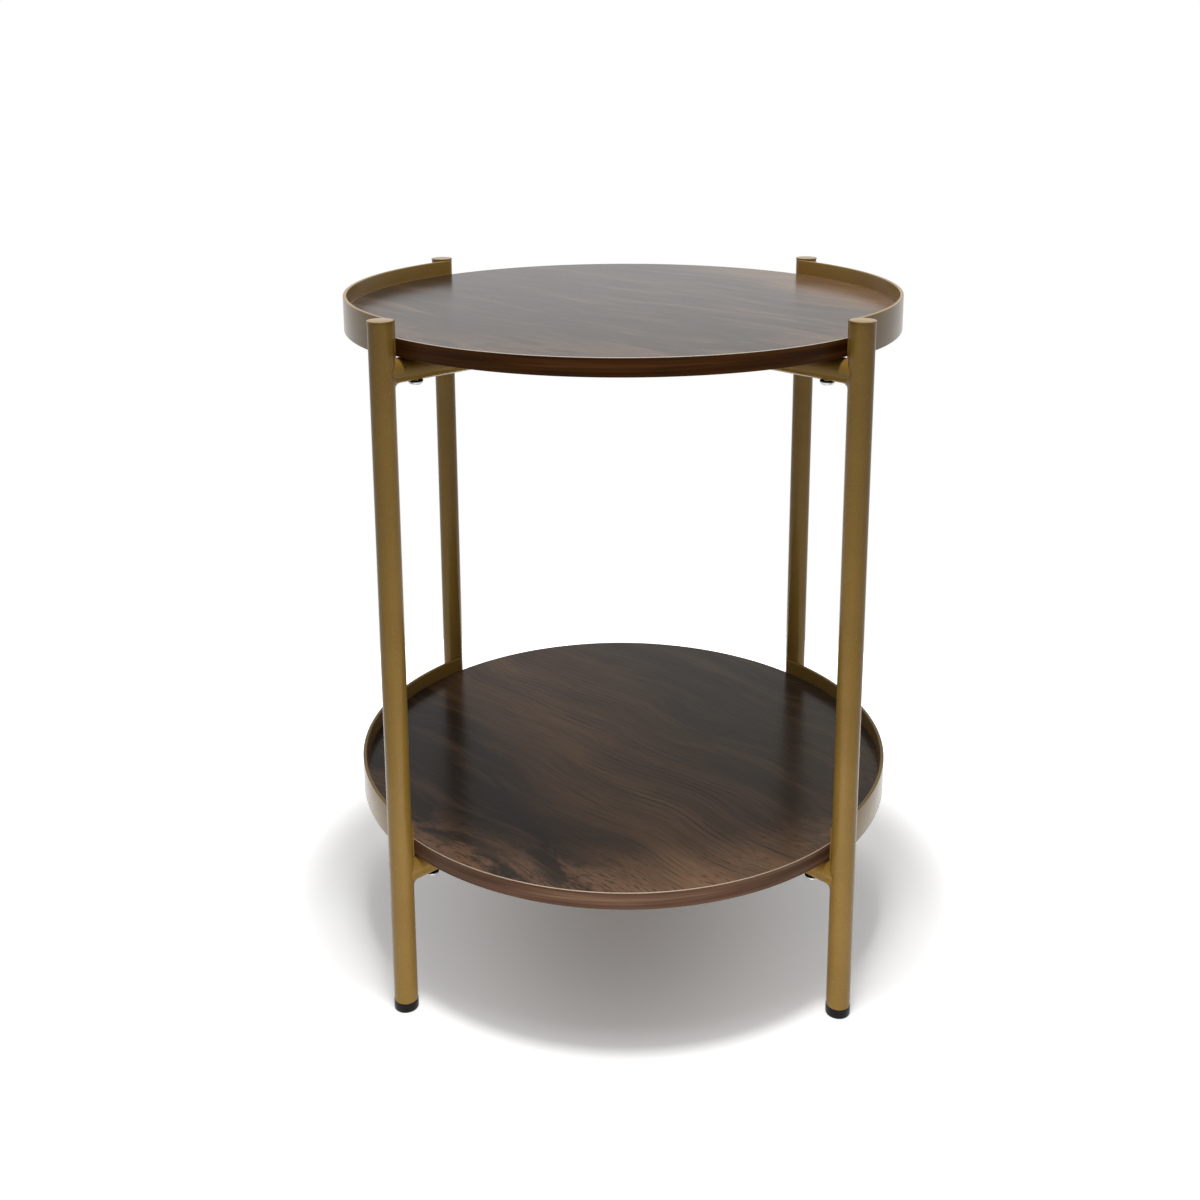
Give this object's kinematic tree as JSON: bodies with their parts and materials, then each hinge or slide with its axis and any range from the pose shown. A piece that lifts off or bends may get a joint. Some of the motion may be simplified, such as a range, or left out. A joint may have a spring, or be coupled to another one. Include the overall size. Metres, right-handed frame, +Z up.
{
  "type": "tiered side table",
  "caption": "Round side table with two wooden tiers on tube legs, each tier edged at its sides by a curved flat rail and carried on crossed tubes.",
  "frame": {"origin": "on the floor, under the middle of the boards", "axes": "+Z up, -Y towards the open front, +X to the right seen from the front; the rails stand at the left and right"},
  "size_m": [0.4866, 0.48, 0.5965],
  "materials": {
    "gold_paint": "satin",
    "brown_wood": "satin",
    "black_plastic": "matt",
    "zinc_steel": "zinc plated",
    "pad_rubber": "matt"
  },
  "bodies": {
    "root": {"leg_front_left": "gold_paint", "leg_front_right": "gold_paint", "leg_back_left": "gold_paint", "leg_back_right": "gold_paint", "leg_caps": "gold_paint", "feet": "black_plastic", "upper_board": "brown_wood", "upper_rail_right": "gold_paint", "upper_rail_left": "gold_paint", "upper_cross_tube_full": "gold_paint", "upper_cross_tube_front": "gold_paint", "upper_cross_tube_back": "gold_paint", "upper_board_bolts": "zinc_steel", "upper_board_pads": "pad_rubber", "lower_board": "brown_wood", "lower_rail_right": "gold_paint", "lower_rail_left": "gold_paint", "lower_cross_tube_full": "gold_paint", "lower_cross_tube_front": "gold_paint", "lower_cross_tube_back": "gold_paint", "lower_board_bolts": "zinc_steel", "lower_board_pads": "pad_rubber"}
  },
  "joints": []
}
